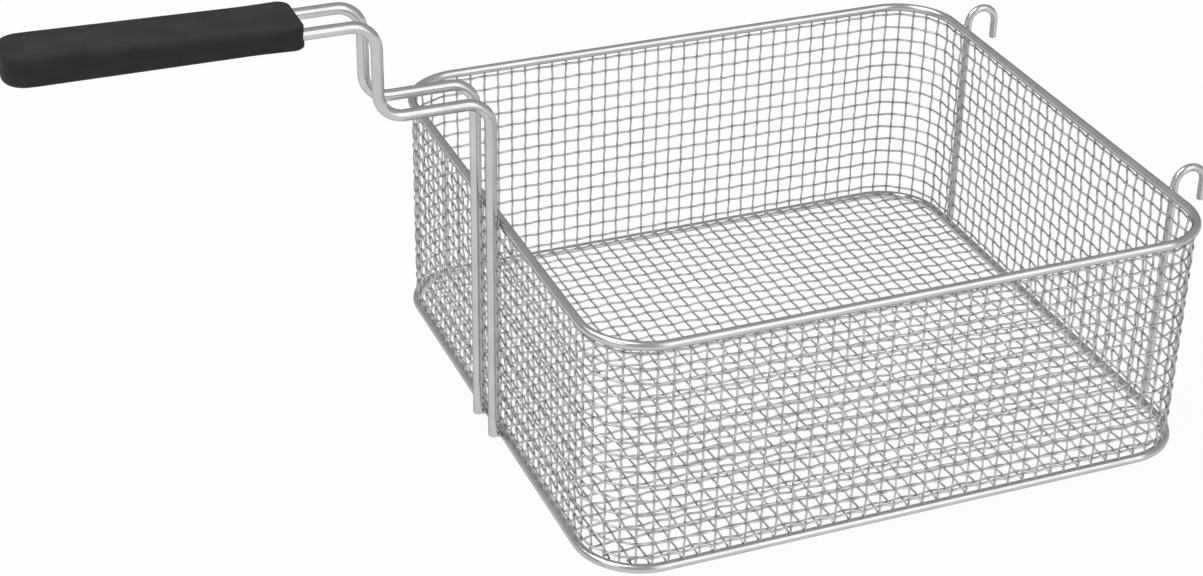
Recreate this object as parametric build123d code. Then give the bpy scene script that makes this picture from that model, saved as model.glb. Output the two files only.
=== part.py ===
from build123d import *
import math
import os

# Wire fryer basket. Lengths in millimetres, Z up, the basket standing on its base ring.
# The origin is the middle of the base ring at the level of the surface it stands on.
# The handle points towards -X and the two drain hooks are on the opposite wall, +X.

# Basket frame: two rings of the same outline, sizes to the wire's centre line
ring_length = 282.0
ring_width = 264.0
ring_corner_radius = 28.0
ring_wire = 4.0
ring_spacing = 107.0

# Square mesh of thin wire
mesh_wire = 1.0
mesh_opening = 6.0
wall_inset = 0.25
first_hoop_rise = 5.2

# Handle: one wire bent to a U, its ends welded to the outside of both rings
handle_wire = 5.0
handle_spacing = 20.2
handle_offset = -4.5
handle_bend_radius = 11.0
handle_foot = 1.7
handle_step_rise = 57.1
handle_step_length = 48.1
handle_neck_rise = 42.0
handle_neck_length = 29.5
handle_in_grip = 60.0

# Grip: flat plastic sleeve over the end of the handle wire
grip_length = 117.7
grip_side_wall = 2.65
grip_top_wall = 2.6
grip_narrowing = 3.2
grip_thickening = 4.0
grip_rise = 1.7
grip_end_radius = 10.0
grip_edge_radius = 4.2
grip_mouth_chamfer = 0.8
grip_fit = 0.15

# Two hooks of bent wire that hang the basket on the edge of the pot to drain
hook_wire = 3.5
hook_near_inset = 43.0
hook_far_inset = 36.5
hook_turn_radius = 7.3
hook_rise = 9.5
hook_drop = 9.7
hook_foot = 1.0

# Thick wires have many-sided sections as wide across the flats as the wire is thick
ring_sides = 8
rod_sides = 12
# Thin wires have square sections with as much metal as the round wire
mesh_side = mesh_wire * math.sqrt(math.pi) / 2
# Facets round each corner of a thin hoop and of the grip's free end
hoop_facets = 4
grip_facets = 3
# Gap left at a weld, so that no two pieces cut into each other
weld_gap = 0.05

half_length = ring_length / 2
half_width = ring_width / 2
base_height = ring_wire / 2
rim_height = base_height + ring_spacing
mesh_pitch = mesh_wire + mesh_opening

# The uprights lie inside the hoops, one wire further in
upright_inset = wall_inset + mesh_wire / 2
hoop_inset = wall_inset - mesh_wire / 2

# The base mesh rests on the inner shoulder of the base ring, clear of the uprights
base_inset = upright_inset + mesh_side / 2 + 2 * weld_gap
ring_flat = ring_wire / 2 * math.tan(math.pi / ring_sides)
shoulder_slope = math.tan(2 * math.pi / ring_sides)
shoulder_rise = ring_wire / 2 - (base_inset - ring_flat) * shoulder_slope
long_wire_height = base_height + shoulder_rise + weld_gap + mesh_side / 2
cross_wire_height = long_wire_height + mesh_wire


def write(name, shape):
    """Save one sub-part under its node name."""
    shape.label = name
    export_step(shape, f"parts/{name}.step")


def bent_wire(path, across, diameter, sides):
    """A thick wire along a path, with its flats square to the direction given."""
    start = Plane(origin=path @ 0, x_dir=across, z_dir=path % 0)
    section = RegularPolygon(diameter / 2, sides, major_radius=False, rotation=180 / sides)
    return sweep(sections=start * section, path=path)


def ring(height):
    """One ring of the basket frame at a height above the surface."""
    outline = RectangleRounded(ring_length, ring_width, ring_corner_radius).wire()
    return bent_wire(Pos(0, 0, height) * outline, (0, 0, 1), ring_wire, ring_sides)


def mesh_group(wires):
    """Many thin wires of one direction as a group of separate solids."""
    return Compound([wire.solid() for wire in wires])


def corner_points(middle_x, middle_y, radius, quarter, facets):
    """Points between the flats that stand for a quarter turn, quarter 0 from +X to +Y."""
    reach = radius / math.cos(math.pi / (4 * facets))
    points = []
    for facet in range(facets):
        angle = math.pi / 2 * (quarter + (facet + 0.5) / facets)
        points.append((middle_x + reach * math.cos(angle), middle_y + reach * math.sin(angle)))
    return points


def hoop_outline(inset):
    """Rounded rectangle inside the ring's centre line, with faceted corners."""
    middle_x = half_length - ring_corner_radius
    middle_y = half_width - ring_corner_radius
    radius = ring_corner_radius - inset
    points = []
    for quarter, (side_x, side_y) in enumerate(((1, 1), (-1, 1), (-1, -1), (1, -1))):
        middle = (side_x * middle_x, side_y * middle_y)
        points += corner_points(*middle, radius, quarter, hoop_facets)
    return Polygon(*points, align=None)


def wall_hoop(height):
    """One horizontal wire of the wall, right round the basket."""
    outside = hoop_outline(hoop_inset - mesh_side / 2)
    inside = hoop_outline(hoop_inset + mesh_side / 2)
    return extrude(Pos(0, 0, height - mesh_side / 2) * (outside - inside), mesh_side)


def wall_uprights():
    """All upright wires of the wall, from the base ring to the rim, one at mid far wall."""
    outline = RectangleRounded(
        ring_length - 2 * upright_inset,
        ring_width - 2 * upright_inset,
        ring_corner_radius - upright_inset,
    ).wire()
    count = 2 * math.ceil(outline.length / mesh_pitch / 2)
    first = outline.param_at_point(Vector(0, half_width - upright_inset, 0))
    foot = base_height + ring_wire / 2 + weld_gap
    length = ring_spacing - ring_wire - 2 * weld_gap
    wires = []
    for number in range(count):
        place = (first + number / count) % 1
        stand = Plane(origin=outline @ place, x_dir=outline % place, z_dir=(0, 0, 1))
        section = stand.offset(foot) * Rectangle(mesh_side, mesh_side)
        wires.append(extrude(section, length))
    return mesh_group(wires)


def half_chord(half_along, half_across, place):
    """Half the length inside the base ring of a wire at a place across the base."""
    corner = ring_corner_radius - base_inset
    past_corner = abs(place) + mesh_side / 2 - (half_across - base_inset - corner)
    if past_corner <= 0:
        return half_along - base_inset
    return half_along - base_inset - corner + math.sqrt(corner**2 - past_corner**2)


def base_places(half_across):
    """Places of the parallel base wires, counted out from the middle."""
    reach = int((half_across - base_inset - mesh_side / 2) / mesh_pitch)
    return [number * mesh_pitch for number in range(-reach, reach + 1)]


def base_wires_long():
    """Base wires along the basket, resting on the base ring."""
    wires = []
    for place in base_places(half_width):
        length = 2 * half_chord(half_length, half_width, place)
        wires.append(Pos(0, place, long_wire_height) * Box(length, mesh_side, mesh_side))
    return mesh_group(wires)


def base_wires_cross():
    """Base wires across the basket, lying on the long ones."""
    wires = []
    for place in base_places(half_length):
        length = 2 * half_chord(half_width, half_length, place)
        wires.append(Pos(place, 0, cross_wire_height) * Box(mesh_side, length, mesh_side))
    return mesh_group(wires)


# Places along the handle, from the welded legs out to the grip
leg_x = -(half_length + ring_wire / 2 + weld_gap + handle_wire / 2)
neck_x = leg_x - handle_step_length
grip_x = neck_x - handle_neck_length
turn_x = grip_x - handle_in_grip + handle_wire / 2 + handle_spacing / 2
step_z = rim_height + handle_step_rise
neck_z = step_z + handle_neck_rise


def handle_side(y):
    """Centre line of one side of the handle, from its foot to the turn in the grip."""
    return FilletPolyline(
        (leg_x, y, handle_foot),
        (leg_x, y, step_z),
        (neck_x, y, step_z),
        (neck_x, y, neck_z),
        (turn_x, y, neck_z),
        radius=handle_bend_radius,
    )


def handle():
    """The whole handle wire: up the wall, out, up, along into the grip and back."""
    near_y = handle_offset - handle_spacing / 2
    far_y = handle_offset + handle_spacing / 2
    turn = ThreePointArc(
        (turn_x, near_y, neck_z),
        (turn_x - handle_spacing / 2, handle_offset, neck_z),
        (turn_x, far_y, neck_z),
    )
    edges = handle_side(near_y).edges() + turn.edges() + handle_side(far_y).edges()
    return bent_wire(Wire(edges), (1, 0, 0), handle_wire, rod_sides)


def grip():
    """Flat sleeve, narrower and thicker towards its rounded free end."""
    end_x = grip_x - grip_length
    slot_width = handle_spacing + handle_wire + 2 * grip_fit
    slot_height = handle_wire + 2 * grip_fit
    mouth_half_width = slot_width / 2 + grip_side_wall
    mouth_half_height = slot_height / 2 + grip_top_wall
    end_half_width = mouth_half_width - grip_narrowing / 2
    end_half_height = mouth_half_height + grip_thickening / 2
    corner_x = end_x + grip_end_radius
    corner_y = end_half_width - grip_end_radius
    plan = Polygon(
        (grip_x, mouth_half_width),
        *corner_points(corner_x, corner_y, grip_end_radius, 1, grip_facets),
        *corner_points(corner_x, -corner_y, grip_end_radius, 2, grip_facets),
        (grip_x, -mouth_half_width),
        align=None,
    )
    side = Plane.XZ * Polygon(
        (grip_x, mouth_half_height),
        (end_x, end_half_height + grip_rise),
        (end_x, grip_rise - end_half_height),
        (grip_x, -mouth_half_height),
        align=None,
    )
    body = extrude(plan, slot_width, both=True) & extrude(side, slot_width, both=True)
    by_height = body.faces().sort_by(Axis.Z)
    rims = by_height[-1].edges() + by_height[0].edges()
    body = fillet(rims.sort_by(Axis.X)[:-2], grip_edge_radius)
    body = chamfer(body.faces().sort_by(Axis.X)[-1].edges(), grip_mouth_chamfer)
    straight = grip_x - turn_x
    slot = Pos(grip_x - straight / 2, 0, 0) * Box(straight, slot_width, slot_height)
    slot += Pos(turn_x, 0, 0) * Cylinder(slot_width / 2, slot_height)
    return Pos(0, handle_offset, neck_z) * (body - slot)


def hook(y):
    """One drain hook: a leg up the wall, a turn outwards over the rim and a short tip."""
    near_x = half_length + ring_wire / 2 + weld_gap + hook_wire / 2
    tip_x = near_x + 2 * hook_turn_radius
    turn_z = rim_height + hook_rise - hook_turn_radius
    turn = ThreePointArc(
        (near_x, y, turn_z),
        (near_x + hook_turn_radius, y, turn_z + hook_turn_radius),
        (tip_x, y, turn_z),
    )
    leg = Line((near_x, y, hook_foot), (near_x, y, turn_z))
    tip = Line((tip_x, y, turn_z), (tip_x, y, turn_z - hook_drop))
    path = Wire(leg.edges() + turn.edges() + tip.edges())
    return bent_wire(path, (1, 0, 0), hook_wire, rod_sides)


os.makedirs("parts", exist_ok=True)

write("base_ring", ring(base_height))
write("top_rim", ring(rim_height))

hoop_room = ring_spacing - ring_wire / 2 - first_hoop_rise - mesh_side / 2
for number in range(int(hoop_room / mesh_pitch) + 1):
    hoop_height = base_height + first_hoop_rise + number * mesh_pitch
    write(f"wall_hoop_{number + 1:02d}", wall_hoop(hoop_height))
write("wall_uprights", wall_uprights())
write("base_wires_long", base_wires_long())
write("base_wires_cross", base_wires_cross())

write("handle_wire", handle())
write("grip", grip())
write("hook_near", hook(hook_near_inset - half_width))
write("hook_far", hook(half_width - hook_far_inset))
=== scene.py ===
import math

import bmesh
import bpy
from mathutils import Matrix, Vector


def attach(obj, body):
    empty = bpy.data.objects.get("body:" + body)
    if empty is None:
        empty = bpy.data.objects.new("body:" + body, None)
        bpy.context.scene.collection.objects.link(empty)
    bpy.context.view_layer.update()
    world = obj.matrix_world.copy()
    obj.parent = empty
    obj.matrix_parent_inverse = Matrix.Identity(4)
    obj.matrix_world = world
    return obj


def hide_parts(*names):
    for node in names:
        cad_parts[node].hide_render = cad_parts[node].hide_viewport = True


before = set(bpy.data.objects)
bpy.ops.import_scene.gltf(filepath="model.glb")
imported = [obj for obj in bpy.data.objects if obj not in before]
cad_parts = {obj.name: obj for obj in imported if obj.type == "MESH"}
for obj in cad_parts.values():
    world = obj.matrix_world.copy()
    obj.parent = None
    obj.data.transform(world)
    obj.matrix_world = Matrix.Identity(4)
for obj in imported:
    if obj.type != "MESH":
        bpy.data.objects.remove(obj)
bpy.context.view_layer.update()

bl_info = {
    "name": "Wire fryer basket",
    "version": (1, 0, 0),
    "blender": (4, 5, 0),
    "location": "3D View > Sidebar > Basket",
    "description": "Woven wire fryer basket with a cranked handle, a black grip and two hooks",
    "category": "Add Mesh",
}

MM = 0.001

# Softened edge at the cut ends of the handle and the hooks, and facets round their bends
CUT_EDGE = 0.7 * MM
BEND_STEPS = 16

# Points of a wire that are closer than this are one point
DOUBLED = 2e-6

# Camera that lays both rings on those of the photograph: place, turn in degrees and focal length
CAMERA_PLACE = (-0.45360, -0.89135, 0.61273)
CAMERA_TURN = (60.05496, -0.79469, -21.79242)
CAMERA_LENS = 74.547

# Softboxes: where they point, and the place and width of each
LAMP_AIM = (0, 0, 0.1)
OVERHEAD_PLACE, OVERHEAD_WIDTH = (-0.9, 0.2, 1.7), 1.4
SIDE_PLACE, SIDE_WIDTH = (-1.9, -0.9, 1.1), 1.0

# The floor's own grey, and how far it shows as plain white to the camera and in the metal
FLOOR_GREY = 0.7
FLOOR_GLOW = 0.95

# Directions between which the surround changes from near to far, and the edges of the tall light
NEAR_TO_FAR = (-0.5, 0.5)
TALL_LIGHT_DEPTH = (-0.45, -0.3)
TALL_LIGHT_LEFT = (0.05, 0.2)
TALL_LIGHT_RIGHT = (0.58, 0.72)


# Sizes and colours

def length(name, description, millimetres):
    """A length property, its default given in millimetres."""
    return bpy.props.FloatProperty(
        name=name, description=description, default=millimetres * MM, unit="LENGTH", precision=5
    )


def number(name, description, default, lowest=1):
    """A whole number property."""
    return bpy.props.IntProperty(name=name, description=description, default=default, min=lowest)


def amount(name, description, default, **options):
    """A plain number property."""
    return bpy.props.FloatProperty(name=name, description=description, default=default, **options)


def colour(name, description, default):
    """A colour property."""
    return bpy.props.FloatVectorProperty(
        name=name, description=description, default=default, subtype="COLOR", min=0, max=1
    )


class RingSizes(bpy.types.PropertyGroup):
    """The two rings of thick wire that frame the basket, to the wire's centre line."""

    long_side: length("Length", "Length of the rings", 282)
    wide_side: length("Width", "Width of the rings", 264)
    corner_radius: length("Corner radius", "Radius of the rings' corners", 28)
    wire: length("Wire", "Thickness of the rings' wire", 4)
    base_height: length("Base ring height", "Height of the base ring's centre line", 2)
    rim_height: length("Rim height", "Height of the top rim's centre line", 109)
    corner_steps: number("Corner steps", "Facets round each corner", 20)
    sides: number("Sides", "Facets round the wire", 24, 3)


class WeaveSizes(bpy.types.PropertyGroup):
    """The woven mesh of thin crimped wire in the walls and the base."""

    wire: length("Wire", "Thickness of the woven wire", 1)
    pitch: length("Pitch", "Distance from wire to wire", 7)
    wall_inset: length(
        "Wall inset", "From the rings' centre line in to the middle of the wall mesh", 0.25
    )
    first_hoop: length("First hoop", "Height of the lowest horizontal wire", 7.2)
    hoops: number("Hoops", "Horizontal wires in the wall", 15)
    uprights: number("Uprights", "Upright wires round the wall, an even number", 150)
    crimp: length("Crimp", "How far a wire swings to each side as it passes over and under", 0.33)
    steps: number("Steps", "Points from one crossing to the next", 4)
    sides: number("Sides", "Facets round the wire", 6, 3)
    base_height: length("Base height", "Height of the middle of the base mesh", 4.53)
    base_inset: length(
        "Base inset", "From the base ring's centre line in to the ends of the base wires", 1.29
    )
    base_reach: number("Wires each way", "Long wires to each side of the middle one", 18)
    base_reach_cross: number("Cross wires each way", "Cross wires to each side of the middle", 19)
    end_dip: length("End dip", "How far the ends of the base wires bend down to the ring", 0.75)
    end_dip_run: length("End dip run", "Length over which the ends bend down", 4)


class HandleSizes(bpy.types.PropertyGroup):
    """The handle, one bent wire with both ends welded to the rings."""

    wire: length("Wire", "Thickness of the handle's wire", 5)
    near_y: length("Near side", "Place of the near side across the basket", -14.6)
    far_y: length("Far side", "Place of the far side across the basket", 5.6)
    leg_x: length("Legs", "Place of the legs along the basket", -145.55)
    neck_x: length("Neck", "Place of the neck along the basket", -193.65)
    turn_x: length("Turn", "Place of the hidden turn in the grip", -280.65)
    foot_z: length("Foot", "Height of the legs' ends", 1.7)
    step_z: length("Step", "Height of the lower level run", 166.1)
    top_z: length("Top", "Height of the upper level run", 208.1)
    bend_radius: length("Bend radius", "Radius of the bends", 11)
    sides: number("Sides", "Facets round the wire", 24, 3)


class GripSizes(bpy.types.PropertyGroup):
    """The flat plastic grip over the end of the handle wire."""

    mouth_x: length("Mouth", "Place of the end where the wire goes in", -223.15)
    end_x: length("Free end", "Place of the free end", -340.85)
    middle_y: length("Middle", "Place of the middle across the basket", -4.5)
    mouth_z: length("Mouth height", "Height of the middle at the mouth", 208.1)
    end_z: length("Free end height", "Height of the middle at the free end", 209.8)
    mouth_half_width: length("Mouth half width", "Half of the width at the mouth", 15)
    end_half_width: length("End half width", "Half of the width at the free end", 13.4)
    mouth_half_height: length("Mouth half height", "Half of the thickness at the mouth", 4.8)
    end_half_height: length("End half height", "Half of the thickness at the free end", 6.7)
    end_radius: length("End radius", "Radius of the free end's corners, seen from above", 10)
    mouth_radius: length("Mouth radius", "Radius of the mouth's corners, seen from above", 5.5)
    edge_radius: length("Edge radius", "Radius of the long edges", 2.5)
    mouth_edge: length("Mouth edge", "Radius of the edge round the mouth", 0.8)
    edge_run: length("Edge run", "Length over which the edges grow rounder behind the mouth", 20)
    seam_depth: length("Seam depth", "Depth of the fine line that the mould leaves round it", 0.1)
    slot_half_width: length("Slot half width", "Half of the width of the wire's slot", 12.75)
    slot_half_height: length("Slot half height", "Half of the height of the wire's slot", 2.65)
    slot_depth: length("Slot depth", "Depth of the slot for the wire", 60.15)


class HookSizes(bpy.types.PropertyGroup):
    """The two drain hooks of bent wire on the wall away from the handle."""

    wire: length("Wire", "Thickness of the hooks' wire", 3.5)
    leg_x: length("Leg", "Place of the legs along the basket", 144.8)
    near_y: length("Near hook", "Place of the near hook across the basket", -89)
    far_y: length("Far hook", "Place of the far hook across the basket", 95.5)
    turn_radius: length("Turn radius", "Radius of the turn over the rim", 7.3)
    top_z: length("Top", "Height of the turn's centre line at its top", 118.5)
    tip_z: length("Tip", "Height of the tip's end", 101.5)
    foot_z: length("Foot", "Height of the leg's end", 1)
    sides: number("Sides", "Facets round the wire", 20, 3)


class Finishes(bpy.types.PropertyGroup):
    """Colours and roughness of the three finishes."""

    plated: colour("Plated wire", "Colour of the bright plated frame wires", (0.56, 0.56, 0.57))
    plated_roughness: amount("Plated roughness", "Roughness of the plated wires", 0.2, min=0, max=1)
    woven: colour("Woven wire", "Colour of the woven mesh wire", (0.64, 0.64, 0.65))
    woven_roughness: amount("Woven roughness", "Roughness of the woven wire", 0.36, min=0, max=1)
    grip: colour("Grip", "Colour of the plastic grip", (0.0255, 0.0255, 0.0265))
    grip_roughness: amount("Grip roughness", "Roughness of the plastic grip", 0.55, min=0, max=1)


class StageSizes(bpy.types.PropertyGroup):
    """The floor, the lamps and the light from all round."""

    floor: length("Floor", "Length of the floor's side", 12000)
    overhead: amount("Overhead light", "Power of the overhead softbox in watts", 20)
    side: amount("Side light", "Power of the softbox at the side in watts", 4)
    front: amount("Front light", "Brightness of the surround on the near side", 0.55)
    back: amount("Back light", "Brightness of the surround on the far side", 0.5)
    tall_light: amount("Tall light", "Brightness of the tall white light in front", 1.8)


# Building blocks

def add_object(name, data):
    """Put an object with this data in the scene, at the origin."""
    made = bpy.data.objects.new(name, data)
    bpy.context.scene.collection.objects.link(made)
    return made


def fit(piece, slot, *nodes):
    """Fix a finished piece to the part's one body, in place of its plain solids."""
    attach(piece, "root")
    if nodes:
        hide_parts(*nodes)


def poly_curve(points, closed=False):
    """Curve data of straight runs through the points."""
    curve = bpy.data.curves.new("path", "CURVE")
    curve.dimensions = "3D"
    spline = curve.splines.new("POLY")
    spline.points.add(len(points) - 1)
    for point, place in zip(spline.points, points):
        point.co = (*place, 1)
    spline.use_cyclic_u = closed
    return curve


def node(tree, kind, feeds=(), **options):
    """Add a node, feed its inputs from sockets or plain values, and return its first output."""
    made = tree.nodes.new(kind)
    for option, choice in options.items():
        setattr(made, option, choice)
    for key, feed in dict(feeds).items():
        if isinstance(feed, bpy.types.NodeSocket):
            tree.links.new(feed, made.inputs[key])
        else:
            made.inputs[key].default_value = feed
    return made.outputs[0]


def maths(tree, operation, *values):
    """Add a Math node."""
    return node(tree, "ShaderNodeMath", enumerate(values), operation=operation)


def vector_maths(tree, operation, *values):
    """Add a Vector Math node."""
    return node(tree, "ShaderNodeVectorMath", enumerate(values), operation=operation)


def scaled(tree, vector, factor):
    """A vector times a number."""
    return node(tree, "ShaderNodeVectorMath", {0: vector, "Scale": factor}, operation="SCALE")


def vector_of(tree, x=0.0, y=0.0, z=0.0):
    """A vector from its three parts."""
    return node(tree, "ShaderNodeCombineXYZ", {"X": x, "Y": y, "Z": z})


def start_tree(title, **inputs):
    """A new geometry tree with a named input for each size, and its inputs by name."""
    tree = bpy.data.node_groups.new(title, "GeometryNodeTree")
    tree.interface.new_socket(name="Geometry", in_out="INPUT", socket_type="NodeSocketGeometry")
    for name, default in inputs.items():
        kind = "NodeSocketInt" if isinstance(default, int) else "NodeSocketFloat"
        socket = tree.interface.new_socket(name=name, in_out="INPUT", socket_type=kind)
        socket.default_value = default
    tree.interface.new_socket(name="finish", in_out="INPUT", socket_type="NodeSocketMaterial")
    tree.interface.new_socket(name="Geometry", in_out="OUTPUT", socket_type="NodeSocketGeometry")
    return tree, tree.nodes.new("NodeGroupInput").outputs


def end_tree(tree, geometry, finish):
    """Close a tree: real smooth geometry in its finish."""
    smooth = node(tree, "GeometryNodeSetShadeSmooth", {"Geometry": geometry})
    real = node(tree, "GeometryNodeRealizeInstances", {"Geometry": smooth})
    done = node(tree, "GeometryNodeSetMaterial", {"Geometry": real, "Material": finish})
    out = tree.nodes.new("NodeGroupOutput")
    tree.links.new(done, out.inputs[0])
    return tree


def shape(name, data, tree, **values):
    """Run a tree on the data with the values for its inputs, and keep the result as a mesh."""
    host = add_object(name, data)
    modifier = host.modifiers.new("Shape", "NODES")
    modifier.node_group = tree
    for item in tree.interface.items_tree:
        if item.in_out == "INPUT" and item.name in values:
            modifier[item.identifier] = values[item.name]
    evaluated = host.evaluated_get(bpy.context.evaluated_depsgraph_get())
    mesh = bpy.data.meshes.new_from_object(evaluated)
    host.modifiers.remove(modifier)
    bpy.data.objects.remove(host)
    if not mesh.polygons:
        raise RuntimeError(f"{name} came out empty")
    mesh.name = name
    return add_object(name, mesh)


# Trees

def even_outline(tree, given, count):
    """The outline with its corners rounded, divided evenly."""
    rounded = node(
        tree,
        "GeometryNodeFilletCurve",
        {
            "Curve": given["Geometry"],
            "Count": given["corner_steps"],
            "Radius": given["corner_radius"],
        },
        mode="POLY",
    )
    return node(tree, "GeometryNodeResampleCurve", {"Curve": rounded, "Count": count}, mode="COUNT")


def outward(tree):
    """The direction out of a level outline that runs anticlockwise, seen from above."""
    tangent = node(tree, "GeometryNodeInputTangent")
    return vector_maths(tree, "CROSS_PRODUCT", tangent, (0, 0, 1))


def swing_at(tree, place):
    """The swing of a woven wire at a place counted in crossings, from 1 to -1 and back."""
    return maths(tree, "COSINE", maths(tree, "MULTIPLY", place, math.pi))


def mark_crossings(tree, curve, swing):
    """Store how near each point is to a crossing, 1 at the crossing itself, for the painted shade
    there.
    """
    near = maths(tree, "POWER", maths(tree, "ABSOLUTE", swing), 3.0)
    return node(
        tree,
        "GeometryNodeStoreNamedAttribute",
        {"Geometry": curve, "Name": "crossing", "Value": near},
        data_type="FLOAT",
        domain="POINT",
    )


def tube(tree, curve, thickness, sides, scale=1.0):
    """Round wire along a curve, closed at its ends, with no doubled rings."""
    radius = maths(tree, "DIVIDE", thickness, 2.0)
    section = node(
        tree,
        "GeometryNodeCurvePrimitiveCircle",
        {"Resolution": sides, "Radius": radius},
        mode="RADIUS",
    )
    wire = node(
        tree,
        "GeometryNodeCurveToMesh",
        {"Curve": curve, "Profile Curve": section, "Scale": scale, "Fill Caps": True},
    )
    return node(tree, "GeometryNodeMergeByDistance", {"Geometry": wire, "Distance": DOUBLED})


def hoop_tree():
    """A horizontal wall wire, swinging out and in as it passes the uprights."""
    tree, given = start_tree(
        "Crimped hoop", corner_radius=0.028, corner_steps=16, openings=150, steps=4,
        crimp=0.00033, turned=0, height=0.0, thickness=0.001, sides=6,
    )
    count = maths(tree, "MULTIPLY", given["openings"], given["steps"])
    outline = even_outline(tree, given, count)
    place = maths(tree, "DIVIDE", node(tree, "GeometryNodeInputIndex"), given["steps"])
    place = maths(tree, "ADD", place, given["turned"])
    swing = swing_at(tree, place)
    side_step = scaled(tree, outward(tree), maths(tree, "MULTIPLY", swing, given["crimp"]))
    offset = vector_maths(tree, "ADD", side_step, vector_of(tree, z=given["height"]))
    marked = mark_crossings(tree, outline, swing)
    line = node(tree, "GeometryNodeSetPosition", {"Geometry": marked, "Offset": offset})
    wire = tube(tree, line, given["thickness"], given["sides"])
    return end_tree(tree, wire, given["finish"])


def uprights_tree():
    """The upright wall wires, each swinging the other way from its neighbours."""
    tree, given = start_tree(
        "Wall uprights", corner_radius=0.028, corner_steps=16, openings=150, foot=0.0, top=0.1,
        points=61, first_hoop=0.0072, pitch=0.007, crimp=0.00033, thickness=0.001, sides=6,
    )
    outline = even_outline(tree, given, given["openings"])
    straight = node(
        tree,
        "GeometryNodeCurvePrimitiveLine",
        {"Start": vector_of(tree, z=given["foot"]), "End": vector_of(tree, z=given["top"])},
    )
    line = node(
        tree,
        "GeometryNodeResampleCurve",
        {"Curve": straight, "Count": given["points"]},
        mode="COUNT",
    )
    parts = node(tree, "ShaderNodeSeparateXYZ", {0: node(tree, "GeometryNodeInputPosition")}).node
    rise = maths(tree, "SUBTRACT", parts.outputs["Z"], given["first_hoop"])
    place = maths(tree, "DIVIDE", rise, given["pitch"])
    swing = swing_at(tree, place)
    marked = mark_crossings(tree, line, swing)
    inward = maths(tree, "MULTIPLY", maths(tree, "MULTIPLY", swing, given["crimp"]), -1.0)
    crimped = node(
        tree, "GeometryNodeSetPosition", {"Geometry": marked, "Offset": vector_of(tree, x=inward)}
    )
    wire = tube(tree, crimped, given["thickness"], given["sides"])
    other_way = swing_at(tree, node(tree, "GeometryNodeInputIndex"))
    facing = node(
        tree,
        "FunctionNodeAlignRotationToVector",
        {"Vector": scaled(tree, outward(tree), other_way)},
        axis="X",
        pivot_axis="Z",
    )
    stood = node(
        tree,
        "GeometryNodeInstanceOnPoints",
        {"Points": outline, "Instance": wire, "Rotation": facing},
    )
    return end_tree(tree, stood, given["finish"])


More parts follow.
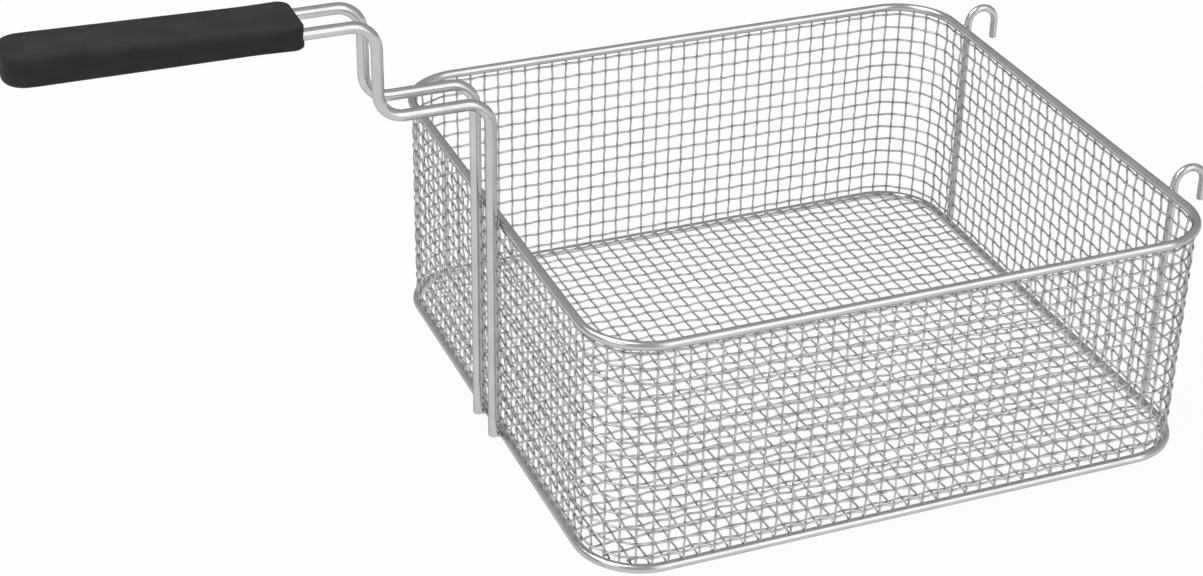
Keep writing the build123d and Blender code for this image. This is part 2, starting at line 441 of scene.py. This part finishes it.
def base_tree():
    """Parallel base wires inside the base ring, bent down at their ends to meet it."""
    tree, given = start_tree(
        "Base wires", reach_along=20, reach_across=18, pitch=0.007, steps=4, half_along=0.1397,
        half_across=0.1307, corner=0.0267, height=0.0045, crimp=0.00033, dip=0.00075,
        dip_run=0.004, thickness=0.001, sides=6, turn=0.0,
    )
    run = maths(tree, "MULTIPLY", given["reach_along"], given["pitch"])
    straight = node(
        tree,
        "GeometryNodeCurvePrimitiveLine",
        {
            "Start": vector_of(tree, x=maths(tree, "MULTIPLY", run, -1.0)),
            "End": vector_of(tree, x=run),
        },
    )
    openings = maths(tree, "MULTIPLY", given["reach_along"], 2.0)
    steps = maths(tree, "MULTIPLY", openings, given["steps"])
    line = node(
        tree,
        "GeometryNodeResampleCurve",
        {"Curve": straight, "Count": maths(tree, "ADD", steps, 1.0)},
        mode="COUNT",
    )
    width = maths(tree, "MULTIPLY", given["reach_across"], given["pitch"])
    rows = node(
        tree,
        "GeometryNodeMeshLine",
        {
            "Count": maths(tree, "MULTIPLY_ADD", given["reach_across"], 2.0, 1.0),
            "Start Location": vector_of(tree, y=maths(tree, "MULTIPLY", width, -1.0)),
            "Offset": vector_of(tree, y=given["pitch"]),
        },
    )
    laid = node(tree, "GeometryNodeInstanceOnPoints", {"Points": rows, "Instance": line})
    lines = node(tree, "GeometryNodeRealizeInstances", {"Geometry": laid})

    position = node(tree, "GeometryNodeInputPosition")
    parts = node(tree, "ShaderNodeSeparateXYZ", {0: position}).node.outputs
    half_wire = maths(tree, "DIVIDE", given["thickness"], 2.0)
    off_middle = maths(tree, "ADD", maths(tree, "ABSOLUTE", parts["Y"]), half_wire)
    straight_part = maths(tree, "SUBTRACT", given["half_across"], given["corner"])
    past_corner = maths(tree, "MAXIMUM", maths(tree, "SUBTRACT", off_middle, straight_part), 0.0)
    squares = maths(
        tree,
        "SUBTRACT",
        maths(tree, "POWER", given["corner"], 2.0),
        maths(tree, "POWER", past_corner, 2.0),
    )
    arc = maths(tree, "SQRT", maths(tree, "MAXIMUM", squares, 0.0))
    reach = maths(tree, "ADD", maths(tree, "SUBTRACT", given["half_along"], given["corner"]), arc)
    from_middle = maths(tree, "ABSOLUTE", parts["X"])
    one_step = maths(tree, "DIVIDE", given["pitch"], given["steps"])
    outside = maths(tree, "GREATER_THAN", from_middle, maths(tree, "ADD", reach, one_step))
    cut = node(
        tree,
        "GeometryNodeDeleteGeometry",
        {"Geometry": lines, "Selection": outside},
        domain="POINT",
    )

    inside = node(
        tree,
        "ShaderNodeClamp",
        {"Value": parts["X"], "Min": maths(tree, "MULTIPLY", reach, -1.0), "Max": reach},
    )
    along = swing_at(tree, maths(tree, "DIVIDE", inside, given["pitch"]))
    row = swing_at(tree, maths(tree, "DIVIDE", parts["Y"], given["pitch"]))
    wave = maths(tree, "MULTIPLY", maths(tree, "MULTIPLY", along, row), given["crimp"])
    bend_start = maths(tree, "SUBTRACT", reach, given["dip_run"])
    bend = soft_step(tree, maths(tree, "ABSOLUTE", inside), bend_start, reach, 0.0, given["dip"])
    height = maths(tree, "SUBTRACT", maths(tree, "ADD", given["height"], wave), bend)
    marked = mark_crossings(tree, cut, along)
    woven = node(
        tree,
        "GeometryNodeSetPosition",
        {"Geometry": marked, "Position": vector_of(tree, inside, parts["Y"], height)},
    )
    wires = tube(tree, woven, given["thickness"], given["sides"])
    turn = vector_of(tree, z=given["turn"])
    turned = node(tree, "GeometryNodeTransform", {"Geometry": wires, "Rotation": turn})
    return end_tree(tree, turned, given["finish"])


def bent_wire_tree():
    """A thick round wire along a path, bent at the path's corners, with softened cut ends.

    The points within the edge at a cut end lie in one line and get no bend.
    """
    tree, given = start_tree(
        "Bent wire", bend_radius=0.011, bend_steps=12, thickness=0.004, sides=24, end_edge=0.0,
    )
    along = node(tree, "GeometryNodeSplineParameter").node.outputs["Length"]
    whole = node(tree, "GeometryNodeSplineLength")
    to_end = maths(tree, "MINIMUM", along, maths(tree, "SUBTRACT", whole, along))
    edge_end = maths(tree, "MULTIPLY_ADD", given["end_edge"], 1.01, -1e-6)
    past_edge = maths(tree, "GREATER_THAN", to_end, edge_end)
    bent = node(
        tree,
        "GeometryNodeFilletCurve",
        {
            "Curve": given["Geometry"],
            "Count": given["bend_steps"],
            "Radius": maths(tree, "MULTIPLY", given["bend_radius"], past_edge),
            "Limit Radius": True,
        },
        mode="POLY",
    )
    share = maths(tree, "DIVIDE", to_end, maths(tree, "MAXIMUM", given["end_edge"], 1e-6))
    gap = maths(tree, "SUBTRACT", 1.0, maths(tree, "MINIMUM", share, 1.0))
    round_part = maths(tree, "SQRT", maths(tree, "SUBTRACT", 1.0, maths(tree, "POWER", gap, 2.0)))
    both_edges = maths(tree, "MULTIPLY", given["end_edge"], 2.0)
    edge_share = maths(tree, "DIVIDE", both_edges, given["thickness"])
    lost = maths(tree, "MULTIPLY", edge_share, maths(tree, "SUBTRACT", 1.0, round_part))
    wire = tube(tree, bent, given["thickness"], given["sides"], maths(tree, "SUBTRACT", 1.0, lost))
    return end_tree(tree, wire, given["finish"])


def weld_tree():
    """A small bead of fused metal at every point."""
    tree, given = start_tree("Weld beads", across=0.001, along=0.0017, upright=0.0017)
    ball = node(tree, "GeometryNodeMeshUVSphere", {"Segments": 16, "Rings": 10, "Radius": 1.0})
    size = vector_of(tree, given["across"], given["along"], given["upright"])
    beads = node(
        tree,
        "GeometryNodeInstanceOnPoints",
        {"Points": given["Geometry"], "Instance": ball, "Scale": size},
    )
    return end_tree(tree, beads, given["finish"])


# Finishes

def new_material(name):
    """An empty material with its tree and its Principled shader."""
    material = bpy.data.materials.new(name)
    material.use_nodes = True
    return material, material.node_tree, material.node_tree.nodes["Principled BSDF"]


def noise(tree, size, detail=3.0):
    """Noise on the object's own coordinates with lumps of about this size in metres."""
    place = node(tree, "ShaderNodeTexCoord").node.outputs["Object"]
    return node(tree, "ShaderNodeTexNoise", {"Vector": place, "Scale": 1 / size, "Detail": detail})


def spread(tree, value, lowest, highest):
    """The middle part of a noise spread over a range."""
    return node(
        tree,
        "ShaderNodeMapRange",
        {"Value": value, "From Min": 0.3, "From Max": 0.7, "To Min": lowest, "To Max": highest},
    )


def soft_step(tree, value, start, end, before, after):
    """A smooth change from one level to another as a value goes from start to end."""
    return node(
        tree,
        "ShaderNodeMapRange",
        {"Value": value, "From Min": start, "From Max": end, "To Min": before, "To Max": after},
        interpolation_type="SMOOTHSTEP",
    )


def shade(tree, base, factor):
    """A colour made darker or lighter by a factor."""
    return scaled(tree, tuple(base), factor)


def bump(tree, height, strength, distance):
    """A normal from a height pattern."""
    return node(
        tree, "ShaderNodeBump", {"Height": height, "Strength": strength, "Distance": distance}
    )


def dress(tree, shader, colours, roughness, normal, **constants):
    """Feed the shader its three patterns, and set what is the same all over on its sockets."""
    tree.links.new(colours, shader.inputs["Base Color"])
    tree.links.new(roughness, shader.inputs["Roughness"])
    tree.links.new(normal, shader.inputs["Normal"])
    for key, constant in constants.items():
        shader.inputs[key.replace("_", " ")].default_value = constant


def plated_wire_finish(look):
    """Bright plated steel, a little cloudy, with the fine unevenness of the plating."""
    material, tree, shader = new_material("plated_wire_look")
    clouds = spread(tree, noise(tree, size=0.014, detail=4.0), lowest=0.93, highest=1.05)
    low, high = look.plated_roughness - 0.04, look.plated_roughness + 0.07
    dress(
        tree,
        shader,
        shade(tree, look.plated, clouds),
        spread(tree, noise(tree, size=0.006), low, high),
        bump(tree, noise(tree, size=0.0009, detail=2.0), strength=0.12, distance=0.00005),
        Metallic=1.0,
        Specular_Tint=(0.45, 0.45, 0.46, 1),
    )
    return material


def woven_wire_finish(look):
    """Duller woven wire, with painted shade where the wires press on each other at the crossings.
    """
    material, tree, shader = new_material("mesh_wire_look")
    crossing = node(tree, "ShaderNodeAttribute", attribute_name="crossing").node.outputs["Fac"]
    patches = spread(tree, noise(tree, size=0.012), lowest=0.25, highest=0.5)
    # Painted shade at the wire crossings, patchy along the wire; the wire is also made rougher
    # there
    crossing_shade = maths(tree, "MULTIPLY", crossing, patches)
    clouds = spread(tree, noise(tree, size=0.02, detail=4.0), lowest=0.9, highest=1.08)
    tone = maths(tree, "MULTIPLY", clouds, maths(tree, "SUBTRACT", 1.0, crossing_shade))
    low, high = look.woven_roughness - 0.05, look.woven_roughness + 0.08
    clean = spread(tree, noise(tree, size=0.003), low, high)
    roughness_added_at_crossings = 0.4
    dress(
        tree,
        shader,
        shade(tree, look.woven, tone),
        maths(tree, "MULTIPLY_ADD", crossing_shade, roughness_added_at_crossings, clean),
        bump(tree, noise(tree, size=0.0005, detail=2.0), strength=0.2, distance=0.00004),
        Metallic=1.0,
        Specular_Tint=(0.6, 0.6, 0.61, 1),
    )
    return material


def grip_finish(look):
    """Black moulded plastic with a fine satin grain and slightly polished patches."""
    material, tree, shader = new_material("grip_plastic_look")
    fine_share = 0.4
    fine_grain = maths(tree, "MULTIPLY", noise(tree, size=0.00035, detail=2.0), fine_share)
    grain = maths(tree, "MULTIPLY_ADD", noise(tree, size=0.0011), 1 - fine_share, fine_grain)
    wear = noise(tree, size=0.018, detail=4.0)
    matt, polished = look.grip_roughness + 0.06, look.grip_roughness - 0.06
    dress(
        tree,
        shader,
        shade(tree, look.grip, spread(tree, wear, lowest=0.85, highest=1.2)),
        spread(tree, wear, matt, polished),
        bump(tree, grain, strength=0.35, distance=0.00008),
        Specular_IOR_Level=0.1,
    )
    return material


def floor_finish():
    """Floor that reads as white to the eye and in the metal, and keeps the object's shadow."""
    material, tree, shader = new_material("studio_floor")
    tree.nodes.remove(shader)
    matt = node(tree, "ShaderNodeBsdfDiffuse", {"Color": (FLOOR_GREY, FLOOR_GREY, FLOOR_GREY, 1)})
    glow = node(tree, "ShaderNodeEmission", {"Color": (1, 1, 1, 1), "Strength": 1.0})
    rays = node(tree, "ShaderNodeLightPath").node.outputs
    seen = maths(tree, "MAXIMUM", rays["Is Camera Ray"], rays["Is Glossy Ray"])
    seen = maths(tree, "MAXIMUM", seen, rays["Is Transmission Ray"])
    white_share = maths(tree, "MULTIPLY", seen, FLOOR_GLOW)
    mix = node(tree, "ShaderNodeMixShader", {0: white_share, 1: matt, 2: glow})
    tree.links.new(mix, tree.nodes["Material Output"].inputs["Surface"])
    return material


def shared_material(name, maker, look):
    """The named material, made the first time that it is asked for."""
    return bpy.data.materials.get(name) or maker(look)


def plated(context):
    """The finish of the frame wires."""
    return shared_material("plated_wire_look", plated_wire_finish, context.scene.basket_finishes)


def woven(context):
    """The finish of the mesh."""
    return shared_material("mesh_wire_look", woven_wire_finish, context.scene.basket_finishes)


# Outlines and paths

def rectangle(long_side, wide_side, height=0.0):
    """Corners of a level rectangle, anticlockwise, seen from above."""
    x, y = long_side / 2, wide_side / 2
    return [(-x, y, height), (-x, -y, height), (x, -y, height), (x, y, height)]


def cut_end(x, y, z):
    """Points close together up from an upright wire's cut end, for its softened edge."""
    return [(x, y, z + share * CUT_EDGE) for share in (0, 0.1, 0.3, 0.6, 1)]


# Operators

class BASKET_OT_rings(bpy.types.Operator):
    """Make the base ring and the top rim"""

    bl_idname = "basket.rings"
    bl_label = "Rings"

    def execute(self, context):
        sizes = context.scene.basket_rings
        tree = bent_wire_tree()
        for name, height in (("base_ring", sizes.base_height), ("top_rim", sizes.rim_height)):
            outline = poly_curve(rectangle(sizes.long_side, sizes.wide_side, height), True)
            ring = shape(
                f"{name}_wire", outline, tree, bend_radius=sizes.corner_radius,
                bend_steps=sizes.corner_steps, thickness=sizes.wire, sides=sizes.sides,
                finish=plated(context),
            )
            fit(ring, "plated_wire", name)
        return {"FINISHED"}


def wall_outline(context):
    """The middle line of the wall mesh, and its corner radius."""
    rings, weave = context.scene.basket_rings, context.scene.basket_weave
    inset = weave.wall_inset
    corners = rectangle(rings.long_side - 2 * inset, rings.wide_side - 2 * inset)
    middle_of_far_wall = (0, corners[0][1], 0)
    return poly_curve([middle_of_far_wall] + corners, True), rings.corner_radius - inset


class BASKET_OT_wall_hoops(bpy.types.Operator):
    """Weave the horizontal wires of the wall"""

    bl_idname = "basket.wall_hoops"
    bl_label = "Wall hoops"

    def execute(self, context):
        sizes = context.scene.basket_weave
        tree = hoop_tree()
        for place in range(sizes.hoops):
            outline, corner_radius = wall_outline(context)
            hoop = shape(
                f"woven_hoop_{place + 1:02d}", outline, tree, corner_radius=corner_radius,
                openings=sizes.uprights, steps=sizes.steps, crimp=sizes.crimp, turned=place % 2,
                height=sizes.first_hoop + place * sizes.pitch, thickness=sizes.wire,
                sides=sizes.sides, finish=woven(context),
            )
            fit(hoop, "mesh_wire", f"wall_hoop_{place + 1:02d}")
        return {"FINISHED"}


class BASKET_OT_wall_uprights(bpy.types.Operator):
    """Weave the upright wires of the wall"""

    bl_idname = "basket.wall_uprights"
    bl_label = "Wall uprights"

    def execute(self, context):
        sizes = context.scene.basket_weave
        outline, corner_radius = wall_outline(context)
        # Steps from the first hoop down to just over the base ring and up to just under the rim
        step = sizes.pitch / sizes.steps
        below, above = 3, (sizes.hoops - 1) * sizes.steps + 1
        wires = shape(
            "woven_uprights", outline, uprights_tree(), corner_radius=corner_radius,
            openings=sizes.uprights, foot=sizes.first_hoop - below * step,
            top=sizes.first_hoop + above * step, points=below + above + 1,
            first_hoop=sizes.first_hoop, pitch=sizes.pitch, crimp=sizes.crimp,
            thickness=sizes.wire, sides=sizes.sides, finish=woven(context),
        )
        fit(wires, "mesh_wire", "wall_uprights")
        return {"FINISHED"}


class BASKET_OT_base_mesh(bpy.types.Operator):
    """Weave the base"""

    bl_idname = "basket.base_mesh"
    bl_label = "Base mesh"

    def execute(self, context):
        rings, sizes = context.scene.basket_rings, context.scene.basket_weave
        half_long = rings.long_side / 2 - sizes.base_inset
        half_wide = rings.wide_side / 2 - sizes.base_inset
        tree = base_tree()
        lengthwise = (sizes.base_reach_cross, half_long)
        crosswise = (sizes.base_reach, half_wide)
        for name, along, across, crimp, turn in (
            ("base_wires_long", lengthwise, crosswise, sizes.crimp, 0.0),
            ("base_wires_cross", crosswise, lengthwise, -sizes.crimp, math.pi / 2),
        ):
            wires = shape(
                f"woven_{name}", bpy.data.meshes.new(name), tree, reach_along=along[0] + 1,
                reach_across=across[0], pitch=sizes.pitch, steps=sizes.steps,
                half_along=along[1], half_across=across[1],
                corner=rings.corner_radius - sizes.base_inset, height=sizes.base_height,
                crimp=crimp, dip=sizes.end_dip, dip_run=sizes.end_dip_run,
                thickness=sizes.wire, sides=sizes.sides, turn=turn, finish=woven(context),
            )
            fit(wires, "mesh_wire", name)
        return {"FINISHED"}


class BASKET_OT_handle(bpy.types.Operator):
    """Bend the handle wire"""

    bl_idname = "basket.handle"
    bl_label = "Handle"

    def execute(self, context):
        sizes = context.scene.basket_handle
        corners = [
            (sizes.leg_x, sizes.step_z),
            (sizes.neck_x, sizes.step_z),
            (sizes.neck_x, sizes.top_z),
            (sizes.turn_x, sizes.top_z),
        ]
        near, far = [
            cut_end(sizes.leg_x, y, sizes.foot_z) + [(x, y, z) for x, z in corners]
            for y in (sizes.near_y, sizes.far_y)
        ]
        wire = shape(
            "bent_handle_wire", poly_curve(near + far[::-1]), bent_wire_tree(),
            bend_radius=sizes.bend_radius, bend_steps=BEND_STEPS, thickness=sizes.wire,
            sides=sizes.sides, end_edge=CUT_EDGE, finish=plated(context),
        )
        fit(wire, "plated_wire", "handle_wire")
        return {"FINISHED"}


class BASKET_OT_hooks(bpy.types.Operator):
    """Bend the two drain hooks"""

    bl_idname = "basket.hooks"
    bl_label = "Drain hooks"

    def execute(self, context):
        sizes = context.scene.basket_hooks
        tip_x = sizes.leg_x + 2 * sizes.turn_radius
        # A hair less than the full turn, so that the two bends don't run into each other
        bend_radius = sizes.turn_radius - 0.005 * MM
        for name, y in (("hook_near", sizes.near_y), ("hook_far", sizes.far_y)):
            path = cut_end(sizes.leg_x, y, sizes.foot_z)
            path += [(sizes.leg_x, y, sizes.top_z), (tip_x, y, sizes.top_z)]
            path += cut_end(tip_x, y, sizes.tip_z)[::-1]
            wire = shape(
                f"bent_{name}", poly_curve(path), bent_wire_tree(), bend_radius=bend_radius,
                bend_steps=BEND_STEPS, thickness=sizes.wire, sides=sizes.sides,
                end_edge=CUT_EDGE, finish=plated(context),
            )
            fit(wire, "plated_wire", name)
        return {"FINISHED"}


class BASKET_OT_welds(bpy.types.Operator):
    """Add the weld beads that hold the handle and the hooks to the rings"""

    bl_idname = "basket.welds"
    bl_label = "Welds"

    def execute(self, context):
        rings = context.scene.basket_rings
        handle, hooks = context.scene.basket_handle, context.scene.basket_hooks
        face = rings.long_side / 2 + rings.wire / 2
        places = [(-face, y) for y in (handle.near_y, handle.far_y)]
        places += [(face, y) for y in (hooks.near_y, hooks.far_y)]
        heights = (rings.base_height, rings.rim_height)
        mesh = bpy.data.meshes.new("weld_places")
        mesh.from_pydata([(x, y, z) for x, y in places for z in heights], [], [])
        beads = shape("weld_beads", mesh, weld_tree(), finish=plated(context))
        fit(beads, "plated_wire")
        return {"FINISHED"}


def half_section(width, height, radius, seam):
    """Half of a flat rounded section from its bottom to its top, as places across and up."""
    steps = 7
    flat_rim = 0.8 * MM
    seam_half_height = 0.22 * MM
    lower = [(max(width - radius - flat_rim, 0), -height)]
    for step in range(steps + 1):
        angle = math.pi / 2 * (1 - step / steps)
        across = width - radius * (1 - math.cos(angle))
        lower.append((across, radius * (1 - math.sin(angle)) - height))
    flat = min(seam_half_height, (height - radius) / 2)
    middle = [(width, -flat), (width - seam, 0), (width, flat)]
    upper = [(across, -up) for across, up in reversed(lower)]
    return lower + middle + upper


def grip_rows(sizes):
    """Rows of points up the grip's side, from mid mouth round the near side to the free end."""
    span = sizes.mouth_x - sizes.end_x
    mouth_steps, side_steps, end_steps = 12, 25, 16

    def at(x):
        """Half width, half height and middle height at a place along the grip."""
        share = (sizes.mouth_x - x) / span
        ends = (
            (sizes.mouth_half_width, sizes.end_half_width),
            (sizes.mouth_half_height, sizes.end_half_height),
            (sizes.mouth_z, sizes.end_z),
        )
        return [start + (end - start) * share for start, end in ends]

    def edge_at(x):
        """Radius of the long edges at a place along the grip."""
        share = min((sizes.mouth_x - x) / sizes.edge_run, 1)
        return sizes.mouth_edge + (sizes.edge_radius - sizes.mouth_edge) * share

    def corner_row(centre_x, centre_y, angle, radius, seam):
        """One row of a corner, at angle 0 towards the mouth and from there to the near side."""
        outside_x = centre_x + radius * math.cos(angle)
        row = []
        for across, up in half_section(radius, at(outside_x)[1], edge_at(outside_x), seam):
            x = centre_x + across * math.cos(angle)
            row.append((x, -centre_y - across * math.sin(angle), at(x)[2] + up))
        return row

    turn = math.pi / 2
    mouth_x = sizes.mouth_x - sizes.mouth_radius
    mouth_y = sizes.mouth_half_width - sizes.mouth_radius
    front = corner_row(mouth_x, 0, 0, sizes.mouth_radius, 0)
    rows = [[(x, y - mouth_y * share, z) for x, y, z in front] for share in (0, 0.5)]
    for step in range(mouth_steps + 1):
        share = step / mouth_steps
        seam = sizes.seam_depth * share
        rows.append(corner_row(mouth_x, mouth_y, turn * share, sizes.mouth_radius, seam))
    end_x = sizes.end_x + sizes.end_radius
    end_y = sizes.end_half_width - sizes.end_radius
    for step in range(1, side_steps):
        x = mouth_x + (end_x - mouth_x) * step / side_steps
        width, height, middle = at(x)
        section = half_section(width, height, edge_at(x), sizes.seam_depth)
        rows.append([(x, -across, middle + up) for across, up in section])
    for step in range(end_steps + 1):
        angle = turn * (1 + step / end_steps)
        rows.append(corner_row(end_x, end_y, angle, sizes.end_radius, sizes.seam_depth))
    rows += [[(x, y * share, z) for x, y, z in rows[-1]] for share in (0.5, 0)]
    return rows


def skin(mesh, rows, closed):
    """Faces from row to row, and across the open ends of the rows."""
    grid = [[mesh.verts.new(place) for place in row] for row in rows]
    pairs = list(zip(grid, grid[1:] + grid[:1])) if closed else list(zip(grid, grid[1:]))
    for row, other in pairs:
        for place in range(len(row) - 1):
            mesh.faces.new((row[place], row[place + 1], other[place + 1], other[place]))
    return grid


def new_mesh(name, mesh):
    """Close the doubles, point the faces outwards and keep the mesh under a name."""
    bmesh.ops.remove_doubles(mesh, verts=mesh.verts, dist=0.001 * MM)
    bmesh.ops.dissolve_degenerate(mesh, edges=mesh.edges, dist=0.0001 * MM)
    bmesh.ops.recalc_face_normals(mesh, faces=mesh.faces)
    made = bpy.data.meshes.new(name)
    mesh.to_mesh(made)
    mesh.free()
    return made


def grip_skin(sizes):
    """The outside of the grip as one closed mesh."""
    mesh = bmesh.new()
    near = grip_rows(sizes)
    far = [[(x, -y, z) for x, y, z in row] for row in near]
    rows = [[(x, y + sizes.middle_y, z) for x, y, z in row] for row in near + far[-2:0:-1]]
    grid = skin(mesh, rows, True)
    # The flat top and bottom join each near row to its far one
    for place in (0, -1):
        edge = [row[place] for row in grid]
        for step in range(len(near) - 1):
            corners = (edge[step], edge[step + 1], edge[-step - 1], edge[-step])
            mesh.faces.new(list(dict.fromkeys(corners)))
    return new_mesh("grip_body", mesh)


def slot_core(sizes):
    """The shape of the slot for the wire, nearly round at its sides and reaching past the mouth."""
    side_flat, overshoot = 0.05 * MM, 5 * MM
    mesh = bmesh.new()
    rounding = sizes.slot_half_height - side_flat
    half = half_section(sizes.slot_half_width, sizes.slot_half_height, rounding, 0)
    loop = [(-across, up) for across, up in half] + [(across, up) for across, up in half[::-1]]
    ends = (sizes.mouth_x + overshoot, sizes.mouth_x - sizes.slot_depth)
    rows = [[(x, y + sizes.middle_y, sizes.mouth_z + z) for y, z in loop + loop[:1]] for x in ends]
    for row in skin(mesh, rows, False):
        mesh.faces.new(row[:-1])
    return new_mesh("slot_core", mesh)


class BASKET_OT_grip(bpy.types.Operator):
    """Mould the black grip"""

    bl_idname = "basket.grip"
    bl_label = "Grip"

    def execute(self, context):
        sizes = context.scene.basket_grip
        body = add_object("grip_skin", grip_skin(sizes))
        core = add_object("slot_core", slot_core(sizes))
        cut = body.modifiers.new("Slot", "BOOLEAN")
        cut.object, cut.operation, cut.solver = core, "DIFFERENCE", "EXACT"
        evaluated = body.evaluated_get(context.evaluated_depsgraph_get())
        mesh = bpy.data.meshes.new_from_object(evaluated)
        for helper in (body, core):
            bpy.data.objects.remove(helper)
        mesh.shade_smooth()
        mesh.set_sharp_from_angle(angle=math.radians(40))
        mesh.materials.clear()
        mesh.materials.append(grip_finish(context.scene.basket_finishes))
        fit(add_object("grip_body", mesh), "grip_plastic", "grip")
        return {"FINISHED"}


def softbox(name, place, width, power):
    """A soft square lamp that points at the basket."""
    lamp = bpy.data.lights.new(name, "AREA")
    lamp.shape = "SQUARE"
    lamp.size = width
    lamp.energy = power
    made = add_object(name, lamp)
    made.location = place
    aim = Vector(LAMP_AIM) - Vector(place)
    made.rotation_euler = aim.to_track_quat("-Z", "Y").to_euler()


def studio_world(stage):
    """Grey light from all round, with a tall white light in front on the right."""
    world = bpy.data.worlds.new("studio")
    world.use_nodes = True
    tree = world.node_tree
    direction = node(tree, "ShaderNodeTexCoord").node.outputs["Generated"]
    parts = node(tree, "ShaderNodeSeparateXYZ", {0: direction}).node.outputs
    surround = soft_step(tree, parts["Y"], *NEAR_TO_FAR, stage.front, stage.back)
    added = stage.tall_light - stage.front
    in_front = soft_step(tree, parts["Y"], *TALL_LIGHT_DEPTH, added, 0.0)
    from_left = soft_step(tree, parts["X"], *TALL_LIGHT_LEFT, 0.0, 1.0)
    to_right = soft_step(tree, parts["X"], *TALL_LIGHT_RIGHT, 1.0, 0.0)
    tall_light = maths(tree, "MULTIPLY", in_front, maths(tree, "MULTIPLY", from_left, to_right))
    level = maths(tree, "ADD", surround, tall_light)
    tree.links.new(level, tree.nodes["Background"].inputs["Strength"])
    tree.nodes["Background"].inputs["Color"].default_value = (1, 1, 1, 1)
    bpy.context.scene.world = world


class BASKET_OT_stage(bpy.types.Operator):
    """Set the floor, the lamps, the surround and the camera"""

    bl_idname = "basket.stage"
    bl_label = "Stage"

    def execute(self, context):
        stage = context.scene.basket_stage
        mesh = bpy.data.meshes.new("studio_floor")
        mesh.from_pydata(rectangle(stage.floor, stage.floor), [], [(0, 1, 2, 3)])
        floor = add_object("studio_floor", mesh)
        floor.data.materials.append(floor_finish())
        softbox("overhead_softbox", OVERHEAD_PLACE, OVERHEAD_WIDTH, stage.overhead)
        softbox("side_softbox", SIDE_PLACE, SIDE_WIDTH, stage.side)
        studio_world(stage)

        lens = bpy.data.cameras.new("view")
        lens.lens = CAMERA_LENS
        lens.sensor_width = 36
        lens.clip_start, lens.clip_end = 0.05, 50
        camera = add_object("camera", lens)
        camera.location = CAMERA_PLACE
        camera.rotation_euler = [math.radians(angle) for angle in CAMERA_TURN]
        context.scene.camera = camera
        context.scene.view_settings.view_transform = "Standard"
        return {"FINISHED"}


STEPS = (
    BASKET_OT_rings,
    BASKET_OT_wall_hoops,
    BASKET_OT_wall_uprights,
    BASKET_OT_base_mesh,
    BASKET_OT_handle,
    BASKET_OT_hooks,
    BASKET_OT_welds,
    BASKET_OT_grip,
    BASKET_OT_stage,
)
GROUPS = {
    "basket_rings": RingSizes,
    "basket_weave": WeaveSizes,
    "basket_handle": HandleSizes,
    "basket_grip": GripSizes,
    "basket_hooks": HookSizes,
    "basket_finishes": Finishes,
    "basket_stage": StageSizes,
}


class BASKET_PT_panel(bpy.types.Panel):
    """The pieces of the basket and their sizes"""

    bl_label = "Fryer basket"
    bl_idname = "BASKET_PT_panel"
    bl_space_type = "VIEW_3D"
    bl_region_type = "UI"
    bl_category = "Basket"

    def draw(self, context):
        for step in STEPS:
            self.layout.operator(step.bl_idname)
        for name, group in GROUPS.items():
            box = self.layout.box()
            box.label(text=name.replace("_", " ").capitalize())
            for setting in group.__annotations__:
                box.prop(getattr(context.scene, name), setting)


def register():
    """Add the sizes, the operators and the panel."""
    for name, group in GROUPS.items():
        bpy.utils.register_class(group)
        setattr(bpy.types.Scene, name, bpy.props.PointerProperty(type=group))
    for made in (*STEPS, BASKET_PT_panel):
        bpy.utils.register_class(made)


def unregister():
    """Take them all away again."""
    for made in (BASKET_PT_panel, *reversed(STEPS)):
        bpy.utils.unregister_class(made)
    for name, group in reversed(GROUPS.items()):
        delattr(bpy.types.Scene, name)
        bpy.utils.unregister_class(group)


def main():
    """Register the add-on, then make every piece and the stage."""
    register()
    for step in STEPS:
        family, name = step.bl_idname.split(".")
        getattr(getattr(bpy.ops, family), name)()


if __name__ == "__main__":
    main()
